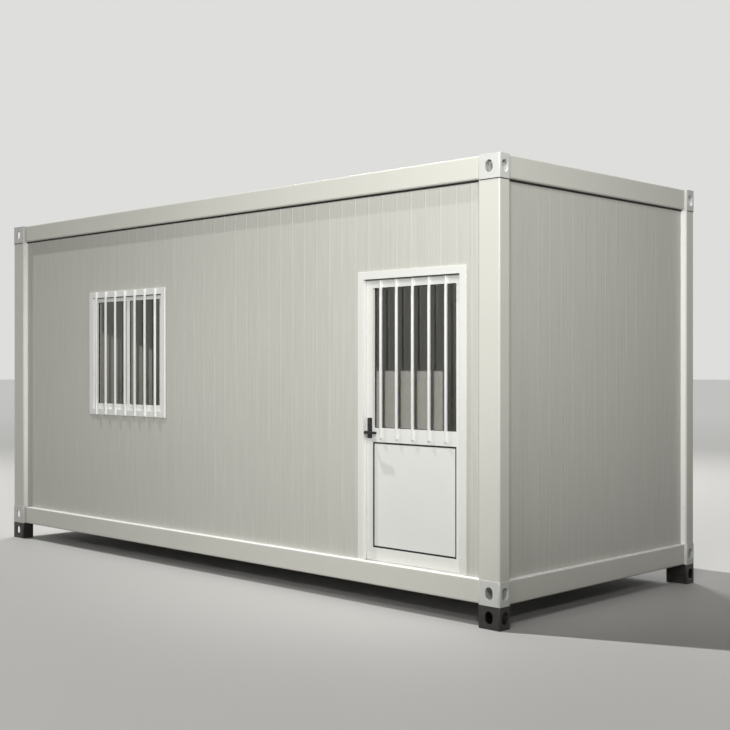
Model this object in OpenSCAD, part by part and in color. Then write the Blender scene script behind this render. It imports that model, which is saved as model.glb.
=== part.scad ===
// Flat-pack container house: a steel frame of corner castings, posts and
// cold-formed beams on four feet, with ribbed sandwich-panel walls, two
// two-light windows and a part-glazed door that opens inwards.
// The origin is on the ground at the middle of the plan. +X runs along the
// length towards the door end, the long front wall faces -Y and +Z is up.
// Depths are measured inwards from the outer faces of the corner castings.

/* [Overall] */
// Length over the corner castings
frame_l = 6055; // [5200:5:9000]
// Width over the corner castings
frame_w = 2435; // [2200:5:3000]
// Height of the steel frame, without the feet
frame_h = 2896; // [2700:2:3200]
// Height of the feet under the frame
foot_h = 150; // [100:5:300]

/* [Corners] */
// Length of a corner casting, and of a corner with its post, along the house
corner_l = 178; // [170:1:200]
// Width of a corner casting, and of a corner with its post, across the house
corner_w = 112; // [105:1:130]
// Height of a corner casting, and of the floor beams between the castings
casting_h = 160; // [140:2:200]
// Wall of a corner casting
casting_wall = 14; // [10:1:18]
// Radius of the outer upright edges of castings, feet and posts
corner_r = 12; // [6:1:14]
// Width of the lifting holes
hole_w = 62; // [50:1:66]
// Height of the lifting holes in the upright faces
hole_h = 82; // [70:1:90]
// Length of the lifting hole in the top face
top_hole_l = 106; // [90:1:124]
// Depth of the post faces behind the casting faces
post_in = 3; // [2:0.5:6]
// Sheet thickness of a post
post_t = 4; // [3:0.5:6]

/* [Beams] */
// Depth of the beam faces behind the casting faces
beam_in = 20; // [10:1:30]
// Sheet thickness of the beams
beam_t = 4; // [3:0.5:6]
// Outer bend radius of the beams
beam_r = 12; // [7:1:14]
// Height of the roof beams
roof_beam_h = 153; // [140:1:160]
// Width of the flat rim on top of a roof beam
rim_w = 46; // [35:1:55]
// Clear width of the rain gutter in a roof beam
gutter_w = 66; // [50:1:72]
// Depth of the rain gutter
gutter_d = 62; // [40:1:80]
// Drop from the rim to the ledge that carries the roof sheet
ledge_drop = 16; // [14:1:30]

/* [Floor and roof] */
// Thickness of the floor board
board_t = 20; // [15:1:28]
// Width of a floor joist
joist_w = 50; // [40:1:80]
// Height of a floor joist
joist_h = 110; // [80:2:114]
// Sheet thickness of joists and purlins
joist_t = 3; // [2:0.5:4]
// Largest distance between two floor joists
joist_gap = 620; // [400:10:800]
// Width of a roof purlin
purlin_w = 50; // [40:1:80]
// Height of a roof purlin
purlin_h = 80; // [60:2:90]
// Largest distance between two roof purlins
purlin_gap = 950; // [700:10:1200]
// Thickness of the ceiling panel
ceiling_t = 20; // [12:1:30]
// Distance that the ceiling panel laps onto the roof beams
ceiling_lap = 40; // [20:1:60]
// Thickness of the roof sheet
sheet_t = 1.5; // [1:0.25:2]
// Distance from rib to rib of the roof sheet
sheet_pitch = 200; // [160:5:300]
// Height of the roof sheet's ribs
sheet_rib_h = 12; // [8:1:13]
// Width of a roof rib at its foot
sheet_rib_base = 70; // [50:1:90]
// Width of a roof rib at its top
sheet_rib_top = 40; // [20:1:45]

/* [Walls] */
// Depth of the wall faces behind the casting faces
wall_in = 50; // [42:1:60]
// Thickness of the sandwich panels
wall_t = 75; // [66:1:100]
// Distance from rib to rib of the panels
rib_pitch = 134.4; // [100:0.1:200]
// Width of a panel rib at its foot
rib_base = 16; // [10:1:24]
// Width of a panel rib at its top
rib_top = 7; // [3:1:9]
// Height of a panel rib
rib_h = 1.5; // [1:0.25:5]

/* [Windows] */
// Width over a window frame
window_w = 1148; // [800:2:1300]
// Height over a window frame
window_h = 1106; // [700:2:1250]
// Height of a window frame above the floor
window_sill = 935; // [700:5:1100]
// Middle of the front window from the left end of the house
window_from_end = 1862; // [1300:2:2100]
// Depth of the window and door frames behind the casting faces
trim_in = 40; // [32:1:44]
// Width of a window frame's face
window_border = 53; // [40:1:70]
// Depth of the sashes behind the window frame's face
sash_in = 25; // [15:1:30]
// Thickness of the sashes
sash_t = 40; // [30:1:48]
// Width of a sash's outer stile
sash_stile = 50; // [40:1:70]
// Width of each of the two meeting stiles
meeting_stile = 22; // [20:1:40]
// Height of a sash's top rail
sash_rail = 40; // [30:1:60]
// Height of a sash's bottom rail
sash_foot = 49; // [30:1:60]
// Thickness of a pane
pane_t = 6; // [4:1:10]
// Depth of a pane behind its sash's face
pane_in = 12; // [8:1:15]
// Depth of the groove that a pane or a panel is held in
groove = 9; // [5:1:12]

/* [Door] */
// Width over the door frame
door_w = 994; // [900:2:1100]
// Height over the door frame
door_h = 2040; // [1950:5:2250]
// Middle of the door from the right end of the house
door_from_end = 812; // [700:2:1000]
// Width of a jamb's face
jamb_w = 53; // [46:1:70]
// Height of the head's face
head_w = 53; // [46:1:75]
// Depth of the door leaf behind the casting faces
leaf_in = 80; // [70:1:84]
// Thickness of the door leaf
leaf_t = 40; // [38:1:48]
// Lap of the frame over the edges of the leaf
leaf_lap = 12; // [8:1:16]
// Running gap round the edges of the leaf
leaf_gap = 8; // [6:0.5:10]
// Running gap between the frame's lap and the leaf
lap_gap = 5; // [5:0.5:8]
// Width of the leaf's stiles
leaf_stile = 70; // [68:1:100]
// Height of the leaf's top rail
top_rail = 72; // [60:1:90]
// Height of the leaf's middle rail
middle_rail = 100; // [80:1:120]
// Height of the leaf's bottom rail
bottom_rail = 85; // [70:1:120]
// Height of the lower panel
panel_h = 746; // [600:2:850]
// Thickness of the lower panel
panel_t = 28; // [20:1:30]
// Thickness of the panel's edge in its groove
panel_tongue = 8; // [5:1:12]
// Width of the sunk line round the lower panel
panel_line = 12; // [6:1:14]
// Depth of the panel's face behind the leaf's face
panel_in = 4; // [2:1:6]
// Depth of the door's pane behind the leaf's face
door_pane_in = 26; // [12:1:27]

/* [Door furniture] */
// Height of the lever above the floor
lever_height = 906; // [850:2:1100]
// Distance of the lever from the leaf's closing edge
lever_backset = 44; // [40:1:60]
// Reach of the lever
lever_l = 106; // [90:1:130]
// Height of the lever's grip at its neck
lever_h = 24; // [18:1:26]
// Height of the lever's grip at its tip
lever_tip_h = 18; // [10:1:20]
// Thickness of the lever's grip at its neck
lever_t = 14; // [10:1:16]
// Thickness of the lever's grip at its tip
lever_tip_t = 9; // [6:1:10]
// Distance from the leaf to the outside of the lever
lever_reach = 54; // [45:1:65]
// Diameter of the lever's neck
neck_d = 18; // [14:1:20]
// Diameter of the spindle
spindle_d = 12; // [8:1:14]
// Width of a handle plate
plate_w = 40; // [34:1:46]
// Height of a handle plate
plate_h = 144; // [120:2:240]
// Height of the spindle above the plate's lower end
plate_foot = 42; // [22:1:60]
// Thickness of a handle plate
plate_t = 8; // [5:1:10]
// Radius of a handle plate's corners
plate_r = 6; // [2:1:12]
// Diameter of a hinge's knuckles
knuckle_d = 16; // [14:1:20]
// Diameter of a hinge's pin
pin_d = 8; // [6:1:9]
// Length of one knuckle
knuckle_l = 40; // [30:1:50]
// Width of a hinge plate from the pin's axis
hinge_w = 34; // [28:1:36]
// Thickness of a hinge plate
hinge_t = 3; // [2:0.5:4]

/* [Hidden] */

$fn = 48;
eps = 1;
pin_play = 0.3;
knuckle_play = 1;
sash_play = 0.3;

steel_white = "#dcdbd5";
panel_white = "#d3d2cb";
door_white = "#eceae6";
glass_grey = [0.34, 0.35, 0.34, 0.5];
foot_black = "#1d1d1c";
zinc_grey = "#a7abad";
board_brown = "#8d7f6d";

// Heights
frame_z = foot_h;
floor_z = frame_z + casting_h;
top_z = frame_z + frame_h;
head_z = top_z - casting_h;
wall_top_z = top_z - roof_beam_h;

// Beams run between the castings
beam_w = corner_l - beam_in;
side_l = frame_l - 2 * corner_l;
end_l = frame_w - 2 * corner_w;
ledge_v = roof_beam_h - ledge_drop;
ledge_u = rim_w + gutter_w;

// Inside the beams
inner_l = frame_l - 2 * corner_l;
inner_w = frame_w - 2 * corner_l;

// Openings in the front wall, along X
window_x = window_from_end - frame_l / 2;
door_x = frame_l / 2 - door_from_end;
wall_end = side_l / 2;
sill_z = floor_z + window_sill;
lintel_z = sill_z + window_h;
door_top_z = floor_z + door_h;
trim_t = wall_in + wall_t - trim_in;

// Door leaf
opening_w = door_w - 2 * jamb_w;
leaf_w = opening_w + 2 * leaf_lap;
leaf_z = floor_z + leaf_gap;
leaf_h = door_h - head_w + leaf_lap - leaf_gap;
leaf_back = leaf_in + leaf_t;
light_w = leaf_w - 2 * leaf_stile;
panel_z = leaf_z + bottom_rail;
light_z = panel_z + panel_h + middle_rail;
light_h = leaf_z + leaf_h - top_rail - light_z;
pin_x = door_x + leaf_w / 2 + leaf_gap / 2;
pin_y = leaf_back + knuckle_d / 2;
hinge_spots = [0.12, 0.5, 0.88];
lever_x = door_x - leaf_w / 2 + lever_backset;
lever_z = floor_z + lever_height;

// ---------------------------------------------------------------- placing

// A side of the house seen from outside: x along it, y inwards, z up
module on_side(angle, half) {
    rotate([0, 0, angle]) translate([0, -half, 0]) children();
}
module on_front() { on_side(0, frame_w / 2) children(); }
module on_back() { on_side(180, frame_w / 2) children(); }
module on_right() { on_side(90, frame_l / 2) children(); }
module on_left() { on_side(-90, frame_l / 2) children(); }

// A corner of the house: x inwards along the length, y along the width
module on_corner(right, back) {
    mirror([right ? 1 : 0, 0, 0])
        mirror([0, back ? 1 : 0, 0])
            translate([-frame_l / 2, -frame_w / 2, 0])
                children();
}
module on_corners() {
    for (right = [false, true])
        for (back = [false, true])
            on_corner(right, back) children();
}

// A section drawn as [inwards, up] and run along x, centred on x = 0
module run(length) {
    translate([-length / 2, 0, 0])
        rotate([90, 0, 90]) linear_extrude(length) children();
}

// --------------------------------------------------------------- profiles

// Rectangle with all corners rounded but the one farthest from the origin
module corner_plan(l, w, r) {
    translate([r, 0]) square([l - 2 * r, w]);
    translate([0, r]) square([l, w - 2 * r]);
    translate([l - r, w - r]) square([r, r]);
    for (centre = [[r, r], [l - r, r], [r, w - r]])
        translate(centre) circle(r);
}

// Rectangle with both corners of its outer side rounded
module face_plan(w, h, r) {
    translate([r, 0]) square([w - r, h]);
    translate([0, r]) square([w, h - 2 * r]);
    translate([r, r]) circle(r);
    translate([r, h - r]) circle(r);
}

// Channel open to the inside
module channel(w, h, t, r) {
    difference() {
        face_plan(w, h, r);
        translate([t, t]) face_plan(w, h - 2 * t, r - t);
    }
}

// Long hole through a wall, along z
module long_hole(l, w, depth) {
    translate([-(l - w) / 2, -w / 2, 0]) cube([l - w, w, depth]);
    for (side = [-1, 1])
        translate([side * (l - w) / 2, 0, 0]) cylinder(h = depth, d = w);
}

// Upright rectangular ring, from z = 0 up
module ring(w, h, side, bottom, top, depth) {
    difference() {
        translate([-w / 2, 0, 0]) cube([w, depth, h]);
        translate([side - w / 2, -eps, bottom])
            cube([w - 2 * side, depth + 2 * eps, h - bottom - top]);
    }
}

// ---------------------------------------------------------------- corners

// Hollow corner block with a long hole in both outer faces
module corner_block(h) {
    difference() {
        linear_extrude(h) corner_plan(corner_l, corner_w, corner_r);
        translate([casting_wall, casting_wall, casting_wall])
            cube([corner_l - 2 * casting_wall, corner_w - 2 * casting_wall,
                h - 2 * casting_wall]);
        translate([corner_l / 2, casting_wall + eps, h / 2])
            rotate([90, 90, 0]) long_hole(hole_h, hole_w, casting_wall + 2 * eps);
        translate([-eps, corner_w / 2, h / 2])
            rotate([0, 90, 0]) long_hole(hole_h, hole_w, casting_wall + 2 * eps);
    }
}

module feet() {
    color(foot_black)
        on_corners() corner_block(foot_h);
}

module floor_castings() {
    color(steel_white)
        on_corners() translate([0, 0, frame_z]) corner_block(casting_h);
}

module roof_castings() {
    color(steel_white)
        on_corners() translate([0, 0, head_z])
            difference() {
                corner_block(casting_h);
                translate([corner_l / 2, corner_w / 2, casting_h - casting_wall - eps])
                    long_hole(top_hole_l, hole_w, casting_wall + 2 * eps);
            }
}

// Hollow post between the castings, set back a little from their faces
module post(right, back) {
    post_l = corner_l - post_in;
    post_w = corner_w - post_in;
    color(steel_white)
        on_corner(right, back) translate([post_in, post_in, floor_z])
            linear_extrude(head_z - floor_z)
                difference() {
                    corner_plan(post_l, post_w, corner_r);
                    translate([post_t, post_t])
                        corner_plan(post_l - 2 * post_t, post_w - 2 * post_t,
                            corner_r - post_t);
                }
}
module post_front_left() { post(false, false); }
module post_front_right() { post(true, false); }
module post_back_left() { post(false, true); }
module post_back_right() { post(true, true); }

// ------------------------------------------------------------------ beams

module floor_beam(length) {
    color(steel_white)
        translate([0, beam_in, frame_z])
            run(length) channel(beam_w, casting_h, beam_t, beam_r);
}
module floor_beam_front() { on_front() floor_beam(side_l); }
module floor_beam_back() { on_back() floor_beam(side_l); }
module floor_beam_left() { on_left() floor_beam(end_l); }
module floor_beam_right() { on_right() floor_beam(end_l); }

// Roof beam with a rim, a rain gutter and a ledge for the roof sheet
module roof_section() {
    channel(rim_w, roof_beam_h, beam_t, beam_r);
    translate([rim_w - beam_t, 0]) square([beam_w - rim_w + beam_t, beam_t]);
    translate([rim_w - beam_t, roof_beam_h - gutter_d]) square([beam_t, gutter_d]);
    translate([rim_w - beam_t, roof_beam_h - gutter_d])
        square([gutter_w + 2 * beam_t, beam_t]);
    translate([ledge_u, roof_beam_h - gutter_d])
        square([beam_t, gutter_d - ledge_drop]);
    translate([ledge_u, ledge_v - beam_t]) square([beam_w - ledge_u, beam_t]);
}
module roof_beam(length) {
    color(steel_white)
        translate([0, beam_in, wall_top_z]) run(length) roof_section();
}
module roof_beam_front() { on_front() roof_beam(side_l); }
module roof_beam_back() { on_back() roof_beam(side_l); }
module roof_beam_left() { on_left() roof_beam(end_l); }
module roof_beam_right() { on_right() roof_beam(end_l); }

// --------------------------------------------------------- floor and roof

// Bars across the house, evenly spaced along it
module cross_bars(gap, w) {
    bays = ceil(inner_l / gap);
    for (i = [1 : bays - 1])
        translate([i * inner_l / bays - inner_l / 2 - w / 2, 0, 0]) children();
}

module floor_joists() {
    joist_l = frame_w - 2 * (beam_in + beam_t);
    color(zinc_grey)
        translate([0, joist_l / 2, floor_z - board_t - joist_h])
            cross_bars(joist_gap, joist_w)
                rotate([90, 0, 0]) linear_extrude(joist_l)
                    channel(joist_w, joist_h, joist_t, 2 * joist_t);
}

module floor_board() {
    color(board_brown)
        translate([-inner_l / 2, -inner_w / 2, floor_z - board_t])
            cube([inner_l, inner_w, board_t]);
}

module roof_purlins() {
    purlin_l = frame_w - 2 * (beam_in + ledge_u + beam_t);
    color(zinc_grey)
        translate([0, purlin_l / 2, wall_top_z + ledge_v - beam_t - purlin_h])
            cross_bars(purlin_gap, purlin_w)
                rotate([90, 0, 0]) linear_extrude(purlin_l)
                    channel(purlin_w, purlin_h, joist_t, 2 * joist_t);
}

// Profiled sheet lying on the ledges of the roof beams, ribs across the house
module roof_sheet() {
    edge = beam_in + ledge_u + beam_t;
    l = frame_l - 2 * edge;
    w = frame_w - 2 * edge;
    ribs = floor((l - sheet_rib_base) / sheet_pitch / 2);
    steps = [for (i = [-ribs : ribs]) each [
        [i * sheet_pitch - sheet_rib_base / 2, 0],
        [i * sheet_pitch - sheet_rib_top / 2, sheet_rib_h],
        [i * sheet_pitch + sheet_rib_top / 2, sheet_rib_h],
        [i * sheet_pitch + sheet_rib_base / 2, 0]]];
    lower = concat([[-l / 2, 0]], steps, [[l / 2, 0]]);
    upper = [for (i = [len(lower) - 1 : -1 : 0]) lower[i] + [0, sheet_t]];
    color(steel_white)
        translate([0, w / 2, wall_top_z + ledge_v])
            rotate([90, 0, 0]) linear_extrude(w) polygon(concat(lower, upper));
}

// Ceiling panel lying on the lower flanges of the roof beams
module ceiling() {
    l = inner_l + 2 * ceiling_lap;
    w = inner_w + 2 * ceiling_lap;
    color(panel_white)
        translate([-l / 2, -w / 2, wall_top_z + beam_t])
            cube([l, w, ceiling_t]);
}

// ------------------------------------------------------------------ walls

// Upright sandwich panels from x0 to x1, with ribs on their outer face.
// The ribs of a whole side keep one pitch, counted from the side's middle.
module wall_piece(x0, x1, z0, z1) {
    margin = rib_base / 2 + eps;
    first = ceil((x0 + margin) / rib_pitch - 0.5);
    last = floor((x1 - margin) / rib_pitch - 0.5);
    ribs = [for (i = [first : 1 : last]) (i + 0.5) * rib_pitch];
    outer = [for (x = ribs) each [
        [x - rib_base / 2, 0],
        [x - rib_top / 2, -rib_h],
        [x + rib_top / 2, -rib_h],
        [x + rib_base / 2, 0]]];
    color(panel_white)
        translate([0, wall_in, z0]) linear_extrude(z1 - z0)
            polygon(concat([[x0, wall_t], [x0, 0]], outer, [[x1, 0], [x1, wall_t]]));
}

module front_wall_left() {
    on_front() wall_piece(-wall_end, window_x - window_w / 2,
        floor_z, wall_top_z);
}
module wall_under_window() {
    wall_piece(window_x - window_w / 2, window_x + window_w / 2, floor_z, sill_z);
}
module wall_over_window() {
    wall_piece(window_x - window_w / 2, window_x + window_w / 2,
        lintel_z, wall_top_z);
}
module front_wall_under_window() { on_front() wall_under_window(); }
module front_wall_over_window() { on_front() wall_over_window(); }
module front_wall_middle() {
    on_front() wall_piece(window_x + window_w / 2, door_x - door_w / 2,
        floor_z, wall_top_z);
}
module front_wall_over_door() {
    on_front() wall_piece(door_x - door_w / 2, door_x + door_w / 2,
        door_top_z, wall_top_z);
}
module front_wall_right() {
    on_front() wall_piece(door_x + door_w / 2, wall_end, floor_z, wall_top_z);
}
module back_wall_left() {
    on_back() wall_piece(-wall_end, window_x - window_w / 2,
        floor_z, wall_top_z);
}
module back_wall_under_window() { on_back() wall_under_window(); }
module back_wall_over_window() { on_back() wall_over_window(); }
module back_wall_right() {
    on_back() wall_piece(window_x + window_w / 2, wall_end, floor_z, wall_top_z);
}
module left_end_wall() {
    on_left() wall_piece(-end_l / 2, end_l / 2, floor_z, wall_top_z);
}
module right_end_wall() {
    on_right() wall_piece(-end_l / 2, end_l / 2, floor_z, wall_top_z);
}

// ---------------------------------------------------------------- windows

light_l = window_w - 2 * window_border;
sash_w = (light_l - sash_play) / 2;
sash_h = window_h - 2 * window_border;
pane_w = sash_w - sash_stile - meeting_stile;
pane_h = sash_h - sash_rail - sash_foot;

module window_frame() {
    color(door_white)
        translate([window_x, trim_in, sill_z])
            ring(window_w, window_h, window_border, window_border,
                window_border, trim_t);
}

// Outer lower corner of the left sash; the right sash mirrors it
module on_sashes() {
    for (side = [0, 1])
        translate([window_x, trim_in + sash_in, sill_z + window_border])
            mirror([side, 0, 0]) translate([-light_l / 2, 0, 0]) children();
}

module window_sashes() {
    color(door_white)
        on_sashes()
            difference() {
                cube([sash_w, sash_t, sash_h]);
                translate([sash_stile, -eps, sash_foot])
                    cube([pane_w, sash_t + 2 * eps, pane_h]);
                translate([sash_stile - groove, pane_in, sash_foot - groove])
                    cube([pane_w + 2 * groove, pane_t, pane_h + 2 * groove]);
            }
}

module window_glass() {
    color(glass_grey)
        on_sashes()
            translate([sash_stile - groove, pane_in, sash_foot - groove])
                cube([pane_w + 2 * groove, pane_t, pane_h + 2 * groove]);
}

module front_window_frame() { on_front() window_frame(); }
module front_window_sashes() { on_front() window_sashes(); }
module front_window_glass() { on_front() window_glass(); }
module back_window_frame() { on_back() window_frame(); }
module back_window_sashes() { on_back() window_sashes(); }
module back_window_glass() { on_back() window_glass(); }

// ------------------------------------------------------------------- door

// Jambs and head: a lap in front of the leaf and a body beside it
module door_frame() {
    lap_t = leaf_in - lap_gap - trim_in;
    body_w = jamb_w - leaf_lap - leaf_gap;
    body_h = head_w - leaf_lap - leaf_gap;
    color(door_white)
        on_front() translate([door_x, trim_in, floor_z]) {
            difference() {
                ring(door_w, door_h, jamb_w, 0, head_w, lap_t);
                translate([-opening_w / 2, -eps, -eps])
                    cube([opening_w, lap_t + 2 * eps, 2 * eps]);
            }
            translate([0, lap_t, 0])
                difference() {
                    ring(door_w, door_h, body_w, 0, body_h,
                        leaf_back - trim_in - lap_t);
                    translate([-door_w / 2 + body_w, -eps, -eps])
                        cube([door_w - 2 * body_w, leaf_back, 2 * eps]);
                }
        }
}

module door_leaf() {
    groove_z = panel_in + (panel_t - panel_tongue) / 2;
    color(door_white)
        on_front() translate([door_x, leaf_in, 0])
            difference() {
                translate([-leaf_w / 2, 0, leaf_z]) cube([leaf_w, leaf_t, leaf_h]);
                translate([-light_w / 2, -eps, light_z])
                    cube([light_w, leaf_t + 2 * eps, light_h]);
                translate([-light_w / 2, -eps, panel_z])
                    cube([light_w, leaf_t + 2 * eps, panel_h]);
                held_plate(light_z, light_h, door_pane_in, pane_t);
                held_plate(panel_z, panel_h, groove_z, panel_tongue);
                translate([lever_x - door_x, -eps, lever_z]) rotate([-90, 0, 0])
                    cylinder(h = leaf_t + 2 * eps, d = spindle_d + 2 * pin_play);
            }
}

// A plate that fills an opening of the leaf and its groove
module held_plate(z, h, depth, t) {
    translate([-light_w / 2 - groove, depth, z - groove])
        cube([light_w + 2 * groove, t, h + 2 * groove]);
}

module door_panel() {
    color(door_white)
        on_front() translate([door_x, leaf_in, 0]) {
            held_plate(panel_z, panel_h, panel_in + (panel_t - panel_tongue) / 2,
                panel_tongue);
            translate([panel_line - light_w / 2, panel_in, panel_z + panel_line])
                cube([light_w - 2 * panel_line, panel_t, panel_h - 2 * panel_line]);
        }
}

module door_glass() {
    color(glass_grey)
        on_front() translate([door_x, leaf_in, 0])
            held_plate(light_z, light_h, door_pane_in, pane_t);
}

// One hinge stands on its pin's axis: three knuckles, the leaf has the middle
module on_hinges() {
    for (spot = hinge_spots)
        translate([pin_x, pin_y, leaf_z + spot * leaf_h - 1.5 * knuckle_l])
            children();
}

module door_frame_hinges() {
    hinge_h = 3 * knuckle_l;
    color(door_white)
        on_front() on_hinges()
            difference() {
                union() {
                    translate([0, -knuckle_d / 2, 0]) cube([hinge_w, hinge_t, hinge_h]);
                    cylinder(h = hinge_h, d = knuckle_d);
                }
                translate([0, 0, knuckle_l])
                    difference() {
                        cylinder(h = knuckle_l, d = knuckle_d + 2 * knuckle_play);
                        translate([0, 0, -eps])
                            cylinder(h = knuckle_l + 2 * eps, d = pin_d);
                    }
            }
}

module door_leaf_hinges() {
    hinge_h = 3 * knuckle_l;
    color(door_white)
        on_front() on_hinges()
            difference() {
                union() {
                    translate([-hinge_w, -knuckle_d / 2, 0])
                        cube([hinge_w, hinge_t, hinge_h]);
                    translate([0, 0, knuckle_l + knuckle_play])
                        cylinder(h = knuckle_l - 2 * knuckle_play, d = knuckle_d);
                }
                translate([0, 0, -eps])
                    cylinder(h = hinge_h + 2 * eps, d = pin_d + 2 * pin_play);
                for (z = [-eps, 2 * knuckle_l - knuckle_play])
                    translate([0, 0, z])
                        cylinder(h = knuckle_l + knuckle_play + eps,
                            d = knuckle_d + 2 * knuckle_play);
            }
}

// Rectangle standing on its middle, with all corners rounded
module plate_plan(w, h, r) {
    translate([-w / 2 + r, 0]) square([w - 2 * r, h]);
    translate([-w / 2, r]) square([w, h - 2 * r]);
    for (x = [r - w / 2, w / 2 - r])
        for (y = [r, h - r])
            translate([x, y]) circle(r);
}

// Plates on both faces of the leaf, bored for the spindle
module door_handle_plates() {
    color(foot_black)
        on_front() translate([lever_x, 0, lever_z])
            for (y = [leaf_in, leaf_back + plate_t])
                difference() {
                    translate([0, y, -plate_foot]) rotate([90, 0, 0])
                        linear_extrude(plate_t) plate_plan(plate_w, plate_h, plate_r);
                    translate([0, y - plate_t - eps, 0]) rotate([-90, 0, 0])
                        cylinder(h = plate_t + 2 * eps, d = spindle_d + 2 * pin_play);
                }
}

// Strip along x from a round end at the origin, tapering to a smaller round end
module taper_plan(l, d0, d1) {
    circle(d = d0);
    polygon([[0, -d0 / 2], [l - d1 / 2, -d1 / 2], [l - d1 / 2, d1 / 2], [0, d0 / 2]]);
    translate([l - d1 / 2, 0]) circle(d = d1);
}

// Grip with its outer face at y = 0, thinner and lower towards its tip
module lever_grip() {
    reach = lever_l + lever_h / 2;
    intersection() {
        rotate([-90, 0, 0])
            linear_extrude(lever_t) taper_plan(lever_l, lever_h, lever_tip_h);
        translate([-lever_h / 2, 0, -lever_h / 2])
            linear_extrude(lever_h)
                polygon([[0, 0], [reach, 0], [reach, lever_tip_t],
                    [lever_h, lever_t], [0, lever_t]]);
    }
}

// Spindle through the leaf, with a neck and a grip on each side
module door_lever() {
    span = leaf_t + 2 * lever_reach;
    neck_l = lever_reach - plate_t - pin_play;
    color(foot_black)
        on_front() translate([lever_x, leaf_in - lever_reach, lever_z]) {
            rotate([-90, 0, 0]) cylinder(h = span, d = spindle_d);
            for (side = [0, 1])
                translate([0, span / 2, 0]) mirror([0, side, 0])
                    translate([0, -span / 2, 0]) {
                        rotate([-90, 0, 0]) cylinder(h = neck_l, d = neck_d);
                        lever_grip();
                    }
        }
}

// ---------------------------------------------------------------- drawing

feet();
floor_castings();
roof_castings();
post_front_left();
post_front_right();
post_back_left();
post_back_right();
floor_beam_front();
floor_beam_back();
floor_beam_left();
floor_beam_right();
roof_beam_front();
roof_beam_back();
roof_beam_left();
roof_beam_right();
floor_joists();
floor_board();
roof_purlins();
roof_sheet();
ceiling();
front_wall_left();
front_wall_under_window();
front_wall_over_window();
front_wall_middle();
front_wall_over_door();
front_wall_right();
back_wall_left();
back_wall_under_window();
back_wall_over_window();
back_wall_right();
left_end_wall();
right_end_wall();
front_window_frame();
front_window_sashes();
front_window_glass();
back_window_frame();
back_window_sashes();
back_window_glass();
door_frame();
door_frame_hinges();
door_leaf();
door_panel();
door_glass();
door_leaf_hinges();
door_handle_plates();
door_lever();
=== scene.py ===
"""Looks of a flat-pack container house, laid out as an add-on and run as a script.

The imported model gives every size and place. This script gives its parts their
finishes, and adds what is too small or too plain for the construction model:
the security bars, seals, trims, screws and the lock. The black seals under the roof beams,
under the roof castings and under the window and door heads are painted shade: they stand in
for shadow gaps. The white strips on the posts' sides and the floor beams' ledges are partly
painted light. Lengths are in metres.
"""

import math

import bmesh
import bpy
from bpy.props import FloatProperty, FloatVectorProperty, IntProperty, PointerProperty
from mathutils import Euler, Matrix, Vector


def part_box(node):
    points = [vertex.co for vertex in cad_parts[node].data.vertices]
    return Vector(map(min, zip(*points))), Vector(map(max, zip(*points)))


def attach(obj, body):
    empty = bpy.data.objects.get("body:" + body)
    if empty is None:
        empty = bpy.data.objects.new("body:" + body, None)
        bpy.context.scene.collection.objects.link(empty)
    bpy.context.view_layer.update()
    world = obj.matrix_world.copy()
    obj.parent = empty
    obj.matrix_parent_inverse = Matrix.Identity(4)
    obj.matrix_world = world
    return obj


bl_info = {
    "name": "Container House Looks",
    "version": (1, 0, 0),
    "blender": (4, 5, 0),
    "location": "3D View > Sidebar > House",
    "description": "Finishes, bars, seals and trims of a container house",
    "category": "Object",
}

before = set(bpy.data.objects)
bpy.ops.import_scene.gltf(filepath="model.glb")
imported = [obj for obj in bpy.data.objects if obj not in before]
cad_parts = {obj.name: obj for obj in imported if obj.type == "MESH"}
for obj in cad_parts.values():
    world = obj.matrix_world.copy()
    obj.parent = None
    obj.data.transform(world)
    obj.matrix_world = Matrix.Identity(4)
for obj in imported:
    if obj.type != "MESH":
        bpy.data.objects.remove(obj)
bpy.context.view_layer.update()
MM = 0.001
HALF_TURN = math.pi
SMOOTH_BELOW = math.radians(40)  # faces that meet at less than this shade as one curve
TUCK = 3 * MM  # how far strips and seals reach in behind the crests of the panels' ribs


def linear(colour):
    """An sRGB hex colour, such as #D7D5CB, as linear red, green and blue."""
    shares = [int(colour[i : i + 2], 16) / 255 for i in (1, 3, 5)]
    return tuple(s / 12.92 if s <= 0.04045 else ((s + 0.055) / 1.055) ** 2.4 for s in shares)


# ---------------------------------------------------------------- settings


def length(name, description, millimetres):
    """A length property whose default is given in millimetres."""
    return FloatProperty(
        name=name, description=description, default=millimetres * MM, min=0, unit="LENGTH"
    )


def colour(name, description, hex_colour):
    """A colour property whose default is given as an sRGB hex value."""
    shares = linear(hex_colour)
    return FloatVectorProperty(
        name=name, description=description, default=shares, min=0, max=1, subtype="COLOR"
    )


def power(name, description, watts):
    """A lamp's power."""
    return FloatProperty(name=name, description=description, default=watts, min=0, unit="POWER")


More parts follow.
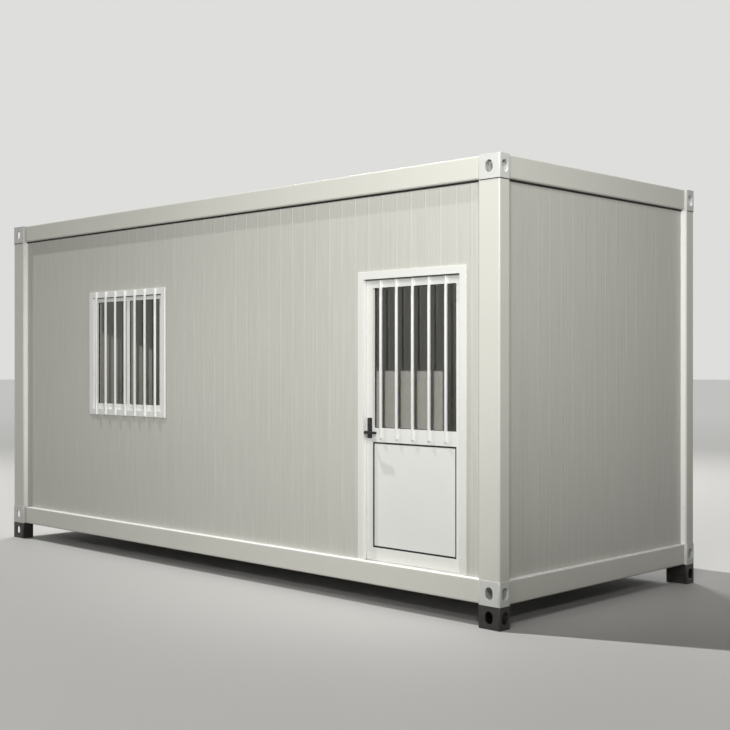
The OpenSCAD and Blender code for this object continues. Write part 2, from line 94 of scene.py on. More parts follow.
class HouseSizes(bpy.types.PropertyGroup):
    bar_side: length("Bar side", "Side of a square security bar", 16)
    window_bar_pitch: length("Window bar pitch", "From bar to bar on a window", 149.4)
    door_bar_pitch: length("Door bar pitch", "From bar to bar on the door", 150.4)
    bar_edge: length("Bar edge", "Radius of a security bar's edges", 2)
    window_bars: IntProperty(name="Window bars", description="Bars on a window", default=7, min=1)
    door_bars: IntProperty(name="Door bars", description="Bars on the door", default=5, min=1)
    window_bar_gap: length("Window bar gap", "From a bar's end to the edge of the frame", 3)
    door_bar_foot: length("Door bar foot", "Reach of the bars below the pane", 65)
    door_bar_head: length("Door bar head", "Reach of the bars above the pane", 45)
    groove: length("Groove", "Depth of the groove that a pane is held in", 9)
    bead_width: length("Glazing bead", "Width of the rubber bead round a pane", 3)
    bead_depth: length("Bead depth", "Depth of the rubber bead on each side of a pane", 5)
    # The roof seal's black strip is painted shade, standing in for the shadow gap under a roof
    # beam.
    seal_height: length("Roof seal height", "Height of the rubber seal under a roof beam", 12)
    seal_depth: length("Roof seal depth", "Depth of the rubber seal under a roof beam", 8)
    panel_line: length("Panel line", "Width of the sunk line round the lower panel", 12)
    sweep_height: length("Sweep height", "Height of the lip under the door leaf", 6)
    # A head seal is a thin black strip under a window or door head: painted shade, standing in for
    # the shadow line there.
    head_seal: length("Head seal", "Height of the seal under a window or door head", 4)
    trim_sheet: length("Trim sheet", "Thickness of the white cover strips", 1.2)
    steel_edge: length("Steel edge", "Radius of the steel edges that the strips wrap", 12)
    # The seam under a roof casting is a black strip: painted shade, standing in for the shadow in
    # the joint.
    seam_height: length("Seam height", "Height of the sealed seam under a roof casting", 5)
    seam_depth: length("Seam depth", "Depth of the sealed seam under a roof casting", 2.5)
    skirting_height: length("Skirting height", "Height of the skirting", 70)
    skirting_depth: length("Skirting depth", "Thickness of the skirting", 12)
    screw_head: length("Screw head", "Diameter of the heads of the bars' screws", 9)
    plate_screw: length("Plate screw", "Diameter of the screws' heads in plates and hinges", 7)
    roof_screw: length("Roof screw", "Diameter of a roof screw's washer", 19)


class HouseColours(bpy.types.PropertyGroup):
    frame_paint: colour("Frame paint", "Posts and beams", "#DCDBD1")
    casting_paint: colour("Casting paint", "Corner castings", "#DADAD6")
    wall_coating: colour("Wall coating", "Outer face of the wall panels", "#CCCBC2")
    inner_coating: colour("Inner coating", "Inner faces of the walls, and the ceiling", "#EFEFEA")
    window_profile: colour("Window profile", "Window frames and sashes", "#F0F0EC")
    door_paint: colour("Door paint", "Door frame, leaf and lower panel", "#ECECE7")
    # On the strips over the posts' sides and on the floor beams' ledges this white is partly
    # painted light.
    trim_white: colour("Trim white", "Cover strips, bars and skirting", "#F6F6F3")
    door_glass_tint: colour("Door glass tint", "Tint of the door's clear pane", "#FBFBF8")
    window_glass_tint: colour("Window glass tint", "Tint of the windows' grey panes", "#DCDCD7")
    foot_paint: colour("Foot paint", "Feet under the castings", "#1F1E1D")
    handle_black: colour("Handle black", "Lever, handle plates and lock", "#1A1A19")
    # The black of the seals under the roof beams, the roof castings and the heads is painted shade.
    rubber: colour("Rubber", "Seals and beads", "#151514")
    zinc: colour("Zinc", "Joists and purlins", "#A9ADAF")
    stainless: colour("Stainless", "Hinges and screws", "#B9B8B4")
    roof_coating: colour("Roof coating", "Roof sheet", "#C9C8C0")
    vinyl: colour("Vinyl", "Floor covering", "#9A8F80")


class StudioSettings(bpy.types.PropertyGroup):
    key_light: FloatProperty(
        name="Key light", description="Strength of the high key lamp", default=2.15, min=0
    )
    top_light: power("Top light", "Soft lamp over the door's corner", 1000)
    fill_light: power("Fill light", "Small lamp beside the camera", 1900)
    edge_light: power("Edge light", "Lamp that shines along the front wall", 700)
    strip_light: power("Strip light", "Tall strip on the camera's other side", 115)
    rim_light: power("Rim light", "Soft lamp behind the house", 800)
    sky_light: FloatProperty(
        name="Sky light", description="Light of the surroundings", default=0.05, min=0
    )
    floor_pale: colour("Floor", "Studio floor round the house as the camera sees it", "#C0BFBC")
    floor_far: colour("Far floor", "Studio floor where it meets the backdrop", "#D6D6D4")
    floor_grey: colour("Floor bounce", "Studio floor as the house sees it", "#757471")
    backdrop: colour("Backdrop", "What the camera sees behind the house", "#DEDEDC")


# ----------------------------------------------------------------- shaders


def add_node(tree, kind, properties=None, inputs=None):
    """Adds a shader node. An input takes a value, or the socket that feeds it."""
    node = tree.nodes.new("ShaderNode" + kind)
    for name, value in (properties or {}).items():
        setattr(node, name, value)
    for name, value in (inputs or {}).items():
        if isinstance(value, bpy.types.NodeSocket):
            tree.links.new(value, node.inputs[name])
        else:
            node.inputs[name].default_value = value
    return node


def reckoned(tree, operation, *values):
    """The result of a Math node. A value is a number, or the socket that feeds it."""
    return add_node(tree, "Math", {"operation": operation}, dict(enumerate(values))).outputs[0]


def new_finish(name, base, roughness, **settings):
    """A material with one Principled shader. Returns it with its tree and shader."""
    material = bpy.data.materials.new(name)
    material.use_nodes = True
    tree = material.node_tree
    shader = tree.nodes["Principled BSDF"]
    shader.inputs["Base Color"].default_value = (*base, 1)
    shader.inputs["Roughness"].default_value = roughness
    for socket, value in settings.items():
        shader.inputs[socket.replace("_", " ")].default_value = value
    material.diffuse_color = (*base, 1)
    return material, tree, shader


def place_in_house(tree):
    """The point on the surface in the house's own frame, in metres."""
    return add_node(tree, "TexCoord").outputs["Object"]


def shade(tree, base, value):
    """A colour, or a socket that gives one, made lighter or darker by a socket near 1."""
    fed = isinstance(base, bpy.types.NodeSocket)
    return add_node(
        tree, "HueSaturation", inputs={"Color": base if fed else (*base, 1), "Value": value}
    ).outputs["Color"]


def mixed(tree, share, one, other):
    """The first colour where the share is 0 and the second where it is 1."""
    colours = [c if isinstance(c, bpy.types.NodeSocket) else (*c, 1) for c in (one, other)]
    return add_node(
        tree, "Mix", {"data_type": "RGBA"}, {"Factor": share, 6: colours[0], 7: colours[1]}
    ).outputs[2]


def indoors(tree):
    """1 on wall faces that look into the room and 0 on their outer faces."""
    end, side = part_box("right_end_wall"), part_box("back_wall_right")
    reach = {"X": (end[0].x + end[1].x) / 2, "Y": (side[0].y + side[1].y) / 2}
    away = add_node(tree, "VectorMath", {"operation": "ABSOLUTE"}, {0: place_in_house(tree)})
    apart = add_node(tree, "SeparateXYZ", inputs={"Vector": away.outputs[0]})
    within = [
        reckoned(tree, "LESS_THAN", apart.outputs[axis], limit) for axis, limit in reach.items()
    ]
    return reckoned(tree, "MULTIPLY", *within)


def cloud(tree, size, low, high, stretch=(1, 1, 1)):
    """A soft random value from low to high, in patches of a size in metres."""
    spread = add_node(
        tree, "VectorMath", {"operation": "DIVIDE"}, {0: place_in_house(tree), 1: stretch}
    ).outputs[0]
    noise = add_node(
        tree, "TexNoise", inputs={"Vector": spread, "Scale": 1 / size, "Detail": 3.0}
    ).outputs["Fac"]
    return add_node(
        tree,
        "MapRange",
        inputs={"Value": noise, "From Min": 0.3, "From Max": 0.7, "To Min": low, "To Max": high},
    ).outputs["Result"]


def relief(tree, size, height, stretch=(1, 1, 1), under=None):
    """A normal roughened by grains of a size and height in metres, over a socket's if given."""
    grain = cloud(tree, size, 0.0, 1.0, stretch)
    inputs = {"Height": grain, "Distance": height, "Strength": 1.0}
    if under:
        inputs["Normal"] = under
    return add_node(tree, "Bump", inputs=inputs).outputs["Normal"]


def flattened(tree, shares):
    """The surface's normal with its parts along X, Y and Z scaled: a low share hides a slope."""
    normal = add_node(tree, "NewGeometry").outputs["Normal"]
    scaled = add_node(
        tree, "VectorMath", {"operation": "MULTIPLY"}, {0: normal, 1: shares}
    ).outputs[0]
    return add_node(tree, "VectorMath", {"operation": "NORMALIZE"}, {0: scaled}).outputs[0]


def connect(tree, shader, **sockets):
    """Links sockets to the shader's inputs of the same names."""
    for name, socket in sockets.items():
        tree.links.new(socket, shader.inputs[name.replace("_", " ")])


def sprayed_enamel(name, base):
    """Acrylic enamel sprayed on cold-formed steel: an even satin skin with a little tone drift.

    Its orange peel is about 2 mm across and is drawn at 5 mm, so that it shows."""
    material, tree, shader = new_finish(name, base, 0.28, IOR=1.5)
    connect(
        tree,
        shader,
        Base_Color=shade(tree, base, cloud(tree, 700 * MM, 0.975, 1.015)),
        Roughness=cloud(tree, 600 * MM, 0.28, 0.3),
        Normal=relief(tree, 5 * MM, 0.01 * MM),
    )
    return material


def cast_enamel(name, base):
    """The same enamel on sand-cast steel: the mould's grain shows as a coarser, duller skin.

    The sand's grains are under 1 mm and are drawn at 3 mm, so that they show."""
    material, tree, shader = new_finish(name, base, 0.45, IOR=1.5)
    connect(
        tree,
        shader,
        Base_Color=shade(tree, base, cloud(tree, 60 * MM, 0.96, 1.01)),
        Roughness=cloud(tree, 25 * MM, 0.38, 0.52),
        Normal=relief(tree, 3 * MM, 0.12 * MM),
    )
    return material


def foot_enamel(name, base):
    """Black alkyd enamel brushed on steel: satin, with a dry grey bloom of dust in its texture."""
    material, tree, shader = new_finish(name, base, 0.42, IOR=1.5)
    dust = linear("#4A4742")
    dusty = mixed(tree, cloud(tree, 45 * MM, 0.0, 0.35), base, dust)
    connect(
        tree,
        shader,
        Base_Color=dusty,
        Roughness=cloud(tree, 30 * MM, 0.34, 0.55),
        Normal=relief(tree, 4 * MM, 0.15 * MM),
    )
    return material


def coated_panel(name, base, along):
    """Polyester coil coating on roll-formed steel sheet: low satin, each panel a touch off its
    neighbour, with upright streaks from the rolls.

    The streaks are about 1 mm wide and are drawn at 16 mm, so that they show. The ribs of the
    end walls are shaded flatter than they are, because the lamps graze that side."""
    ribs_a_panel, rib_pitch = 7, 134.4 * MM
    upright = (1, 1, 35)
    material, tree, shader = new_finish(name, base, 0.42, IOR=1.5)
    slopes = flattened(tree, (1, 0.38, 1)) if along == "Y" else None
    place = add_node(tree, "SeparateXYZ", inputs={"Vector": place_in_house(tree)}).outputs[along]
    number = reckoned(tree, "ROUND", reckoned(tree, "DIVIDE", place, ribs_a_panel * rib_pitch))
    lot = add_node(
        tree, "TexWhiteNoise", {"noise_dimensions": "1D"}, {"W": number}
    ).outputs["Value"]
    lot_tone = add_node(
        tree, "MapRange", inputs={"Value": lot, "To Min": 0.985, "To Max": 1.01}
    ).outputs["Result"]
    rolled = reckoned(tree, "MULTIPLY", lot_tone, cloud(tree, 16 * MM, 0.95, 1.04, upright))
    inner = bpy.context.scene.house_colours.inner_coating
    both_faces = mixed(tree, indoors(tree), base, inner)
    connect(
        tree,
        shader,
        Base_Color=shade(tree, both_faces, rolled),
        Roughness=cloud(tree, 55 * MM, 0.37, 0.47, upright),
        Normal=relief(tree, 2.5 * MM, 0.02 * MM, under=slopes),
    )
    return material


def extruded_upvc(name, base):
    """Extruded uPVC: a smooth, slightly waxy white with long faint draw lines.

    The die's lines are under 1 mm apart and are drawn at 4 mm, so that they show."""
    material, tree, shader = new_finish(name, base, 0.3, IOR=1.53)
    connect(
        tree,
        shader,
        Base_Color=shade(tree, base, cloud(tree, 300 * MM, 0.985, 1.01)),
        Roughness=cloud(tree, 20 * MM, 0.26, 0.36),
        Normal=relief(tree, 4 * MM, 0.01 * MM, (1, 1, 30)),
    )
    return material


def powder_coat(name, base):
    """Polyester powder baked on aluminium and steel: an even white with a fine leathery pebble."""
    material, tree, shader = new_finish(name, base, 0.34, IOR=1.5)
    connect(
        tree,
        shader,
        Base_Color=shade(tree, base, cloud(tree, 400 * MM, 0.985, 1.01)),
        Roughness=cloud(tree, 60 * MM, 0.3, 0.4),
        Normal=relief(tree, 1.5 * MM, 0.02 * MM),
    )
    return material


def float_glass(name, base):
    """Float glass: clear with a faint cast. Lamps shine through it, so the room behind is lit."""
    material, tree, shader = new_finish(name, base, 0.02, IOR=1.45, Transmission_Weight=1.0)
    passing = add_node(tree, "BsdfTransparent", inputs={"Color": (*base, 1)})
    rays = add_node(tree, "LightPath")
    lamp_or_bounce = reckoned(
        tree, "MAXIMUM", rays.outputs["Is Shadow Ray"], rays.outputs["Is Diffuse Ray"]
    )
    pane = add_node(
        tree,
        "MixShader",
        inputs={0: lamp_or_bounce, 1: shader.outputs["BSDF"], 2: passing.outputs["BSDF"]},
    )
    tree.links.new(pane.outputs["Shader"], tree.nodes["Material Output"].inputs["Surface"])
    return material


def moulded_rubber(name, base):
    """Extruded EPDM: matt black with a grey, powdery bloom."""
    material, tree, shader = new_finish(name, base, 0.7, IOR=1.5)
    connect(
        tree,
        shader,
        Base_Color=shade(tree, base, cloud(tree, 30 * MM, 0.8, 1.5)),
        Normal=relief(tree, 1.5 * MM, 0.05 * MM),
    )
    return material


def galvanised_steel(name, base):
    """Hot-dip galvanised steel: dull grey metal broken into spangles about 10 mm across."""
    material, tree, shader = new_finish(name, base, 0.45, Metallic=0.9)
    spangle = add_node(
        tree, "TexVoronoi", inputs={"Vector": place_in_house(tree), "Scale": 1 / (10 * MM)}
    ).outputs["Color"]
    tone = add_node(
        tree, "MapRange", inputs={"Value": spangle, "To Min": 0.82, "To Max": 1.08}
    ).outputs["Result"]
    gloss = add_node(
        tree, "MapRange", inputs={"Value": spangle, "To Min": 0.35, "To Max": 0.55}
    ).outputs["Result"]
    connect(tree, shader, Base_Color=shade(tree, base, tone), Roughness=gloss)
    return material


def turned_stainless(name, base):
    """Stainless steel, turned and passivated: bright metal with a fine, uneven gloss."""
    material, tree, shader = new_finish(name, base, 0.3, Metallic=1.0)
    connect(tree, shader, Roughness=cloud(tree, 2 * MM, 0.22, 0.4))
    return material


def satin_black(name, base):
    """Black powder coat on die-cast zinc: satin, its tone a little uneven in random patches."""
    material, tree, shader = new_finish(name, base, 0.38, IOR=1.5)
    connect(
        tree,
        shader,
        Base_Color=shade(tree, base, cloud(tree, 25 * MM, 0.85, 1.4)),
        Roughness=cloud(tree, 15 * MM, 0.3, 0.48),
        Normal=relief(tree, 1.2 * MM, 0.03 * MM),
    )
    return material


def sheet_vinyl(name, base):
    """Printed sheet vinyl on cement board: mottled fleck under a satin wear layer, and grey board
    at the edges."""
    material, tree, shader = new_finish(name, base, 0.4, IOR=1.5)
    small, wide = cloud(tree, 6 * MM, 0.86, 1.12), cloud(tree, 250 * MM, 0.94, 1.06)
    fleck = reckoned(tree, "MULTIPLY", small, wide)
    facing = add_node(tree, "NewGeometry").outputs["True Normal"]
    upward = add_node(tree, "SeparateXYZ", inputs={"Vector": facing}).outputs["Z"]
    on_top = reckoned(tree, "GREATER_THAN", upward, 0.9)
    board = shade(tree, linear("#8C8B86"), cloud(tree, 12 * MM, 0.85, 1.1))
    covering = mixed(tree, on_top, board, shade(tree, base, fleck))
    connect(tree, shader, Base_Color=covering, Normal=relief(tree, 3 * MM, 0.05 * MM))
    return material


FINISHES = {
    "frame_enamel": (sprayed_enamel, "frame_paint"),
    "casting_enamel": (cast_enamel, "casting_paint"),
    "foot_enamel": (foot_enamel, "foot_paint"),
    "long_wall_coating": (coated_panel, "wall_coating", "X"),
    "end_wall_coating": (coated_panel, "wall_coating", "Y"),
    "ceiling_coating": (coated_panel, "inner_coating", "X"),
    "roof_coating": (coated_panel, "roof_coating", "X"),
    "window_upvc": (extruded_upvc, "window_profile"),
    "door_powder_coat": (powder_coat, "door_paint"),
    "bar_powder_coat": (powder_coat, "trim_white"),
    "trim_upvc": (extruded_upvc, "trim_white"),
    "door_glass": (float_glass, "door_glass_tint"),
    "window_glass": (float_glass, "window_glass_tint"),
    "seal_rubber": (moulded_rubber, "rubber"),
    "galvanised": (galvanised_steel, "zinc"),
    "stainless": (turned_stainless, "stainless"),
    "handle_black": (satin_black, "handle_black"),
    "floor_vinyl": (sheet_vinyl, "vinyl"),
}


def finish(name):
    """The material of that name, made when it is first asked for."""
    made = bpy.data.materials.get(name)
    if made is None:
        build, colour_name, *rest = FINISHES[name]
        base = tuple(getattr(bpy.context.scene.house_colours, colour_name))
        made = build(name, base, *rest)
    return made


# ------------------------------------------------------------------ meshes


def add_box(mesh, low, high):
    """Adds a closed box between two corners."""
    corners = [
        mesh.verts.new((x, y, z))
        for x in (low[0], high[0])
        for y in (low[1], high[1])
        for z in (low[2], high[2])
    ]
    sides = ((0, 1, 3, 2), (4, 6, 7, 5), (0, 4, 5, 1), (2, 3, 7, 6), (0, 2, 6, 4), (1, 5, 7, 3))
    for side in sides:
        mesh.faces.new([corners[i] for i in side])


def add_ring(mesh, low, high, width):
    """Adds an upright rectangular ring with mitred corners, its opening along Y."""
    loops = []
    for inset in (0, width):
        for y in (low[1], high[1]):
            x0, x1 = low[0] + inset, high[0] - inset
            z0, z1 = low[2] + inset, high[2] - inset
            corners = ((x0, z0), (x1, z0), (x1, z1), (x0, z1))
            loops.append([mesh.verts.new((x, y, z)) for x, z in corners])
    outer_front, outer_back, inner_front, inner_back = loops
    strips = (
        (outer_front, outer_back),
        (outer_back, inner_back),
        (inner_back, inner_front),
        (inner_front, outer_front),
    )
    for one, other in strips:
        for i in range(4):
            j = (i + 1) % 4
            mesh.faces.new((one[i], one[j], other[j], other[i]))


def add_sheet(mesh, outline, thickness, ends, place):
    """Adds a thin bent sheet between two ends.

    Its outline holds (across, up, normal across, normal up) along the sheet's inner face, and
    place turns (across, up, along) into a point."""
    rows = []
    for lift in (0.0, thickness):
        for end in ends:
            points = [place(c + lift * nc, u + lift * nu, end) for c, u, nc, nu in outline]
            rows.append([mesh.verts.new(point) for point in points])
    under_near, under_far, over_near, over_far = rows
    for one, other in (
        (under_near, under_far),
        (over_far, over_near),
        (over_near, under_near),
        (under_far, over_far),
    ):
        for i in range(len(outline) - 1):
            mesh.faces.new((one[i], one[i + 1], other[i + 1], other[i]))
    for i in (0, -1):
        mesh.faces.new((under_near[i], over_near[i], over_far[i], under_far[i]))


def round_edge(edge, signs, radius, wrap, steps):
    """Outline points round the edge of a section, from its upper side to its outer one."""
    points = []
    for i in range(steps + 1):
        angle = wrap * i / steps
        normal = signs[0] * math.sin(angle), signs[1] * math.cos(angle)
        points.append([e - radius * (s - n) for e, s, n in zip(edge, signs, normal)] + [*normal])
    return points


def over_edge(start, edge, level, radius, wrap):
    """The outline of a sheet that lies on a ledge and turns down over the ledge's rounded edge."""
    toward = 1 if edge > start else -1
    return [(start, level, 0.0, 1.0)] + round_edge((edge, level), (toward, 1), radius, wrap, 6)


def outer_sides(name):
    """The signs of a post's outer sides along X and Y, and its inner and outer corners."""
    low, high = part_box(name)
    signs = (1 if low.x > 0 else -1, 1 if low.y > 0 else -1)
    inner = [low[i] if signs[i] > 0 else high[i] for i in (0, 1)]
    outer = [high[i] if signs[i] > 0 else low[i] for i in (0, 1)]
    return signs, inner, outer


def add_beads(mesh, low, high, sizes):
    """Adds the rubber beads round a pane, outside and inside."""
    x0, x1 = low[0] + sizes.groove, high[0] - sizes.groove
    z0, z1 = low[2] + sizes.groove, high[2] - sizes.groove
    for y0, y1 in ((low[1] - sizes.bead_depth, low[1]), (high[1], high[1] + sizes.bead_depth)):
        add_ring(mesh, (x0, y0, z0), (x1, y1, z1), sizes.bead_width)


def add_turned(mesh, profile, centre, direction, steps=20):
    """Adds a closed turned solid: profile holds (radius, height) from the foot to the crown."""
    turn = Vector((0, 0, 1)).rotation_difference(Vector(direction)).to_matrix()
    rings = []
    for radius, height in profile:
        ring = []
        for i in range(steps):
            angle = 2 * math.pi * i / steps
            point = Vector((radius * math.cos(angle), radius * math.sin(angle), height))
            ring.append(mesh.verts.new(Vector(centre) + turn @ point))
        rings.append(ring)
    for one, other in zip(rings, rings[1:]):
        for i in range(steps):
            j = (i + 1) % steps
            mesh.faces.new((one[i], one[j], other[j], other[i]))
    mesh.faces.new(rings[0][::-1])
    mesh.faces.new(rings[-1])


def add_screw(mesh, centre, direction, head):
    """Adds a button-head screw with a round socket."""
    radius = head / 2
    profile = (
        (radius, 0),
        (radius, 0.1 * head),
        (0.82 * radius, 0.24 * head),
        (0.5 * radius, 0.32 * head),
        (0.36 * radius, 0.32 * head),
        (0.33 * radius, 0.14 * head),
    )
    add_turned(mesh, profile, centre, direction)


def add_bars(sizes, name, body, across, ends, insets, turn=0.0):
    """Adds square security bars on a face, each with a screw at its foot and at its head.

    Across holds the middle of the row, the face, the number of bars and their pitch. Insets are
    from a bar's foot and head to its screws."""
    middle, face, count, pitch = across
    foot, head = ends
    front, half = face - sizes.bar_side, sizes.bar_side / 2
    screws = bmesh.new()
    for i in range(count):
        x = middle + (i - (count - 1) / 2) * pitch
        mesh = bmesh.new()
        add_box(mesh, (x - half, front, foot), (x + half, face, head))
        soften(mesh, sizes.bar_edge, 3)
        add_piece(f"{name}_{i + 1}", mesh, "bar_powder_coat", body, turn)
        for z in (foot + insets[0], head - insets[1]):
            add_screw(screws, (x, front, z), (0, -1, 0), sizes.screw_head)
    add_piece(f"{name}_screws", screws, "bar_powder_coat", body, turn)


def soften(mesh, radius, segments=2):
    """Rounds every edge of the mesh so far."""
    bmesh.ops.bevel(
        mesh,
        geom=mesh.edges[:],
        offset=radius,
        segments=segments,
        profile=0.5,
        affect="EDGES",
        clamp_overlap=True,
    )


def add_piece(name, mesh, material, body, turn=0.0):
    """Makes a mesh a piece of the house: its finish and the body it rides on."""
    bmesh.ops.recalc_face_normals(mesh, faces=mesh.faces[:])
    data = bpy.data.meshes.new(name)
    mesh.to_mesh(data)
    mesh.free()
    data.transform(Matrix.Rotation(turn, 4, "Z"))
    data.shade_smooth()
    data.set_sharp_from_angle(angle=SMOOTH_BELOW)
    data.materials.append(finish(material))
    piece = bpy.data.objects.new(name, data)
    bpy.context.scene.collection.objects.link(piece)
    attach(piece, body)


def dress(names, material, edge=0.0):
    """Gives CAD nodes a finish, and eases their sharp edges by a radius."""
    for name in names:
        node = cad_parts[name]
        node.data.materials.clear()
        node.data.materials.append(finish(material))
        if edge:
            weld = node.modifiers.new("Weld", "WELD")
            weld.merge_threshold = 0.01 * MM
            flats = node.modifiers.new("Whole flats", "DECIMATE")
            flats.decimate_type = "DISSOLVE"
            flats.angle_limit = math.radians(1)
            ease = node.modifiers.new("Eased edges", "BEVEL")
            ease.width = edge
            ease.segments = 2
            ease.limit_method = "ANGLE"
            ease.angle_limit = math.radians(35)
            ease.harden_normals = True


def steps_along(name, axis):
    """The different coordinates of a node's corners along an axis, in order."""
    return sorted({round(v.co[axis], 5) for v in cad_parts[name].data.vertices})


def nodes_named(*starts):
    """The names of the CAD nodes that begin with any of these."""
    return [name for name in sorted(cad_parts) if name.startswith(starts)]


# --------------------------------------------------------------- operators


class HouseOperator(bpy.types.Operator):
    """Finish one group of the house's parts and add its small pieces"""

    bl_options = {"REGISTER", "UNDO"}

    def execute(self, context):
        self.build(context.scene.house_sizes)
        return {"FINISHED"}


class HOUSE_OT_steel_frame(HouseOperator):
    """Paint the feet, castings, posts and beams, and add white cover strips and black seam strips,
    which are partly painted light and painted shade
    """

    bl_idname = "house.steel_frame"
    bl_label = "Steel Frame"

    def build(self, sizes):
        dress(["feet"], "foot_enamel", 1.5 * MM)
        dress(["floor_castings", "roof_castings"], "casting_enamel", 1.5 * MM)
        dress(nodes_named("post_"), "frame_enamel")
        dress(nodes_named("floor_beam_", "roof_beam_"), "frame_enamel")
        dress(["floor_joists", "roof_purlins"], "galvanised")
        self.post_trims(sizes)
        self.ledge_trims(sizes)
        self.seams(sizes)

    def post_trims(self, sizes):
        """White strips over the posts' sides that walls run into, bent a little at the edge. Their
        white, brighter than the posts' paint, is partly painted light that stands in for the strong
        light on those sides.
        """
        wrap = math.radians(12)
        edge, sheet = sizes.steel_edge, sizes.trim_sheet
        wall_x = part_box("right_end_wall")[1].x - TUCK
        wall_y = -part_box("front_wall_middle")[0].y - TUCK
        for name in nodes_named("post_"):
            low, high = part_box(name)
            (right, back), inner, outer = outer_sides(name)
            mesh = bmesh.new()
            ends = (low.z, high.z - sizes.seam_height)
            long_side = over_edge(back * wall_y, outer[1], -right * inner[0], edge, wrap)
            add_sheet(mesh, long_side, sheet, ends, lambda c, u, z: (-right * u, c, z))
            end_side = over_edge(right * wall_x, outer[0], -back * inner[1], edge, wrap)
            add_sheet(mesh, end_side, sheet, ends, lambda c, u, z: (c, -back * u, z))
            trim = name.replace("post", "post_trim")
            add_piece(trim, mesh, "trim_upvc", "house")

    def ledge_trims(self, sizes):
        """White strips on the floor beams' ledges under the walls, bent over their edges. Their
        white is partly painted light: it keeps the ledges bright, also where the walls shade them.
        """
        wrap = math.radians(65)
        wall_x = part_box("right_end_wall")[1].x - TUCK
        wall_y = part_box("front_wall_middle")[0].y + TUCK
        low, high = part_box("floor_beam_front")
        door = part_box("door_frame")
        past_door = (
            (low.x, door[0].x, wall_y),
            (door[0].x, door[1].x, door[0].y),
            (door[1].x, high.x, wall_y),
        )
        whole = ((low.x, high.x, wall_y),)
        for side, turn, runs in (("front", 0.0, past_door), ("back", HALF_TURN, whole)):
            mesh = bmesh.new()
            for start, stop, back_edge in runs:
                ledge = over_edge(back_edge, low.y, high.z, sizes.steel_edge, wrap)
                add_sheet(mesh, ledge, sizes.trim_sheet, (start, stop), lambda c, u, x: (x, c, u))
            add_piece(f"ledge_trim_{side}", mesh, "trim_upvc", "house", turn)
        low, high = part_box("floor_beam_right")
        end_ledge = over_edge(wall_x, high.x, high.z, sizes.steel_edge, wrap)
        for side, turn in (("right", 0.0), ("left", HALF_TURN)):
            mesh = bmesh.new()
            add_sheet(mesh, end_ledge, sizes.trim_sheet, (low.y, high.y), lambda c, u, y: (c, y, u))
            add_piece(f"ledge_trim_{side}", mesh, "trim_upvc", "house", turn)

    def seams(self, sizes):
        """A black rubber strip round the outer sides of each post, under its roof casting. It seals
        the joint, and its black is painted shade that stands in for the shadow in the joint.
        """
        radius = sizes.steel_edge
        for name in nodes_named("post_"):
            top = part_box(name)[1].z
            signs, inner, outer = outer_sides(name)
            right, back = signs
            outline = [
                (inner[0] + right * radius, outer[1], 0.0, back),
                *round_edge(outer, signs, radius, math.radians(90), 8),
                (outer[0], inner[1] + back * radius, right, 0.0),
            ]
            mesh = bmesh.new()
            ends = (top - sizes.seam_height, top)
            add_sheet(mesh, outline, sizes.seam_depth, ends, lambda x, y, z: (x, y, z))
            add_piece(name.replace("post", "post_seam"), mesh, "seal_rubber", "house")


class HOUSE_OT_walls(HouseOperator):
    """Coat the wall panels, and put black seal strips under the roof beams that are painted shade,
    standing in for the shadow gap there
    """

    bl_idname = "house.walls"
    bl_label = "Walls"

    def build(self, sizes):
        dress(nodes_named("front_wall_", "back_wall_"), "long_wall_coating")
        dress(["left_end_wall", "right_end_wall"], "end_wall_coating")
        self.roof_seals(sizes)

    def roof_seals(self, sizes):
        """Black rubber strips between the wall panels and the roof beams. Their black is painted
        shade: it stands in for the shadow gap under the beams.
        """
        depth, height = sizes.seal_depth, sizes.seal_height
        beam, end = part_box("roof_beam_front"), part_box("roof_beam_right")
        wall_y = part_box("front_wall_middle")[0].y + TUCK
        wall_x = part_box("right_end_wall")[1].x - TUCK
        under = beam[0].z
        along = ((beam[0].x, wall_y - depth, under - height), (beam[1].x, wall_y, under))
        across = ((wall_x, end[0].y, under - height), (wall_x + depth, end[1].y, under))
        for side, turn, box in (
            ("front", 0.0, along),
            ("back", HALF_TURN, along),
            ("right", 0.0, across),
            ("left", HALF_TURN, across),
        ):
            mesh = bmesh.new()
            add_box(mesh, *box)
            soften(mesh, 1.5 * MM)
            add_piece(f"roof_seal_{side}", mesh, "seal_rubber", "house", turn)


class HOUSE_OT_roof_and_floor(HouseOperator):
    """Coat the roof sheet, ceiling and floor, and screw the roof sheet down"""

    bl_idname = "house.roof_and_floor"
    bl_label = "Roof and Floor"

    def build(self, sizes):
        dress(["roof_sheet"], "roof_coating")
        dress(["ceiling"], "ceiling_coating")
        dress(["floor_board"], "floor_vinyl")
        self.roof_screws(sizes)

    def roof_screws(self, sizes):
        """Washered screws in the valleys of the roof sheet, along its front and back edges."""
        low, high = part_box("roof_sheet")
        pitch, inset, sheet = 200 * MM, 22 * MM, 1.5 * MM
        level = low.z + sheet
        half_count = int((high.x - low.x) / pitch) // 2
        mesh = bmesh.new()
        for i in range(-half_count, half_count):
            x = (i + 0.5) * pitch
            for y in (low.y + inset, high.y - inset):
                self.roof_screw(mesh, (x, y, level), sizes)
        add_piece("roof_screws", mesh, "stainless", "house")

    def roof_screw(self, mesh, place, sizes):
        """A hexagon-headed screw on a domed washer."""
        radius, dome = sizes.roof_screw / 2, 2.5 * MM
        upward = Vector((0, 0, 1))
        washer = ((radius, 0), (radius, 1 * MM), (0.6 * radius, dome))
        head = ((0.45 * radius, 0), (0.45 * radius, 4.5 * MM), (0.36 * radius, 5.5 * MM))
        add_turned(mesh, washer, place, upward)
        add_turned(mesh, head, Vector(place) + dome * upward, upward, 6)


